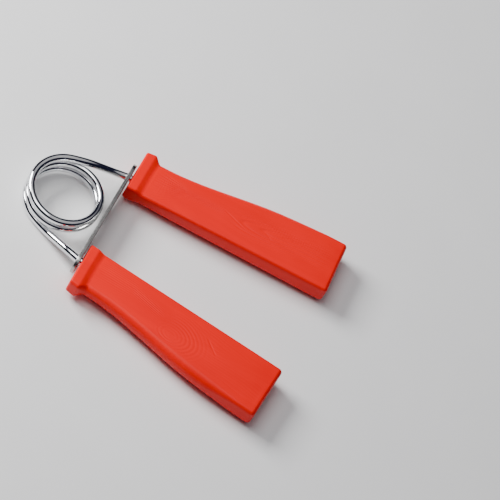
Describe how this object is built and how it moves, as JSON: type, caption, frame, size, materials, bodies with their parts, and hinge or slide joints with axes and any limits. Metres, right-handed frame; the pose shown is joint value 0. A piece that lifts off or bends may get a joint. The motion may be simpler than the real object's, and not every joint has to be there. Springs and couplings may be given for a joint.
{
  "type": "hand grip strengthener",
  "caption": "Spring hand grip strengthener: two moulded handles on the legs of a steel torsion coil, held part-closed by a slotted stop plate.",
  "frame": {"origin": "on the coil's axis, half way through the coil's thickness", "axes": "+Z along the coil's axis, square to the plane in which the handles close; +X from the coil towards the handles' free ends; the palm handle is on the +Y side and the finger handle on the -Y side"},
  "size_m": [0.13, 0.0962, 0.0132],
  "materials": {
    "palm_grip": "moulded, satin gloss",
    "palm_leg": "bright plated",
    "coil_1": "bright plated",
    "coil_2": "bright plated",
    "coil_3": "bright plated",
    "coil_4": "bright plated",
    "coil_5": "bright plated",
    "finger_leg": "bright plated",
    "finger_grip": "moulded, satin gloss",
    "stop_plate": "satin zinc"
  },
  "bodies": {
    "palm_side": {"palm_grip": "palm_grip", "palm_leg": "palm_leg"},
    "turn_a": {"coil_1": "coil_1"},
    "turn_b": {"coil_2": "coil_2"},
    "turn_c": {"coil_3": "coil_3"},
    "turn_d": {"coil_4": "coil_4"},
    "turn_e": {"coil_5": "coil_5"},
    "plate": {"stop_plate": "stop_plate"},
    "finger_side": {"finger_grip": "finger_grip", "finger_leg": "finger_leg"}
  },
  "joints": [
    {"name": "squeeze", "type": "hinge", "parent": "palm_side", "child": "finger_side", "pos_m": [0, 0, 0], "axis": [0, 0, 1], "range_deg": [0, 21], "stiffness_Nm_per_rad": 5, "springref_deg": -5.73},
    {"name": "wind_a", "type": "hinge", "parent": "palm_side", "child": "turn_a", "pos_m": [0, 0, 0], "axis": [0, 0, 1], "range_deg": [0, 2.2]},
    {"name": "wind_b", "type": "hinge", "parent": "palm_side", "child": "turn_b", "pos_m": [0, 0, 0], "axis": [0, 0, 1], "range_deg": [0, 6.4]},
    {"name": "wind_c", "type": "hinge", "parent": "palm_side", "child": "turn_c", "pos_m": [0, 0, 0], "axis": [0, 0, 1], "range_deg": [0, 10.6]},
    {"name": "wind_d", "type": "hinge", "parent": "palm_side", "child": "turn_d", "pos_m": [0, 0, 0], "axis": [0, 0, 1], "range_deg": [0, 14.8]},
    {"name": "wind_e", "type": "hinge", "parent": "palm_side", "child": "turn_e", "pos_m": [0, 0, 0], "axis": [0, 0, 1], "range_deg": [0, 19]},
    {"name": "plate_follow", "type": "hinge", "parent": "palm_side", "child": "plate", "pos_m": [0, 0, 0], "axis": [0, 0, 1], "range_deg": [0, 10.6]}
  ],
  "couplings": [
    {"joint": "wind_a", "follows": "squeeze", "ratio": 0.1},
    {"joint": "wind_b", "follows": "squeeze", "ratio": 0.3},
    {"joint": "wind_c", "follows": "squeeze", "ratio": 0.5},
    {"joint": "wind_d", "follows": "squeeze", "ratio": 0.7},
    {"joint": "wind_e", "follows": "squeeze", "ratio": 0.9},
    {"joint": "plate_follow", "follows": "squeeze", "ratio": 0.5}
  ]
}
